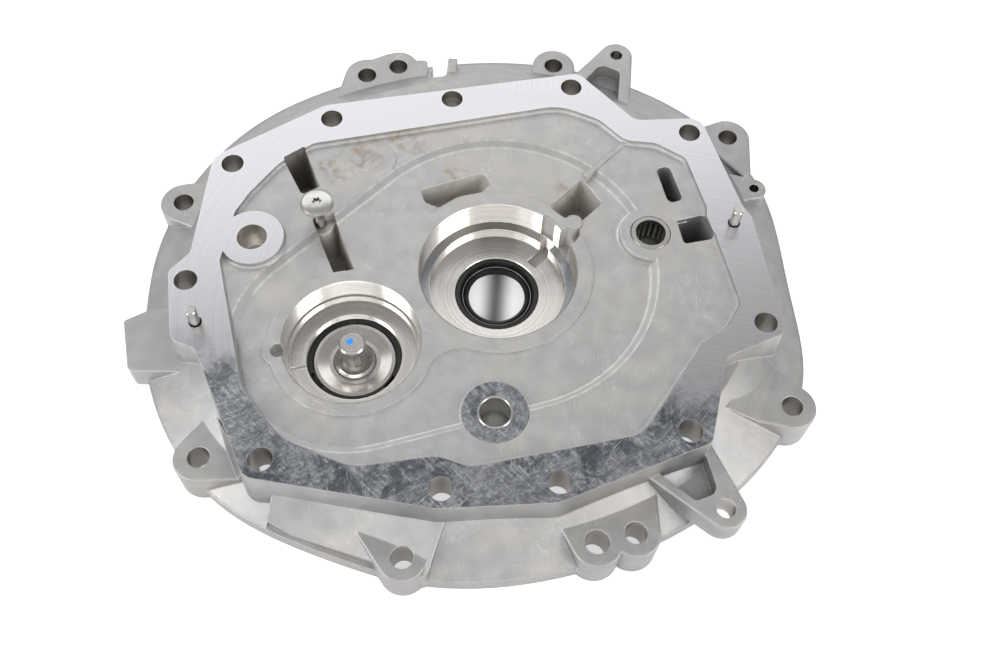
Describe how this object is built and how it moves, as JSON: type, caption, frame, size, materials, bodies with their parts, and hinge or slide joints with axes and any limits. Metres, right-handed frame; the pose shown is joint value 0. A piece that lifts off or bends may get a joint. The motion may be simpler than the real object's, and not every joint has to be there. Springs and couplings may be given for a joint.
{
  "type": "die cast clutch housing",
  "caption": "Die cast aluminium clutch housing with a flat gearbox flange, two round bearing bores, blind pockets, rim lugs and bracket arms, with seal, bearings, pins and screw fitted.",
  "frame": {"origin": "axis of the input bore in the plane of the engine face", "axes": "+Z along the input bore towards the gearbox side; +X to the right and +Y away in the picture"},
  "size_m": [0.3301, 0.3094, 0.051],
  "materials": {
    "cast_aluminium": "as cast, faces machined",
    "pin_steel": "ground",
    "seal_rubber": "matt, oiled",
    "spring_steel": "bright",
    "shell_steel": "drawn",
    "cage_steel": "oiled",
    "roller_steel": "ground",
    "bush_steel": "rolled",
    "zinc_steel": "zinc plated",
    "turned_steel": "turned",
    "black_plastic": "moulded",
    "key_steel": "ground"
  },
  "bodies": {
    "case": {"housing": "cast_aluminium", "dowel_pin_left": "pin_steel", "dowel_pin_right": "pin_steel", "input_seal": "seal_rubber", "seal_spring": "spring_steel", "needle_shell": "shell_steel", "rail_bush": "bush_steel", "bridge_screw": "zinc_steel", "spindle_ring": "black_plastic"},
    "needle_set": {"needle_cage": "cage_steel", "needle_rollers": "roller_steel"},
    "spindle_set": {"spindle": "turned_steel", "spindle_key": "key_steel"}
  },
  "joints": [
    {"name": "needle_spin", "type": "hinge", "parent": "case", "child": "needle_set", "pos_m": [0.0734, 0.0252, 0.029], "axis": [0, 0, 1], "continuous": true},
    {"name": "spindle_spin", "type": "hinge", "parent": "case", "child": "spindle_set", "pos_m": [-0.0653, -0.0445, 0.008], "axis": [0, 0, 1], "continuous": true}
  ]
}
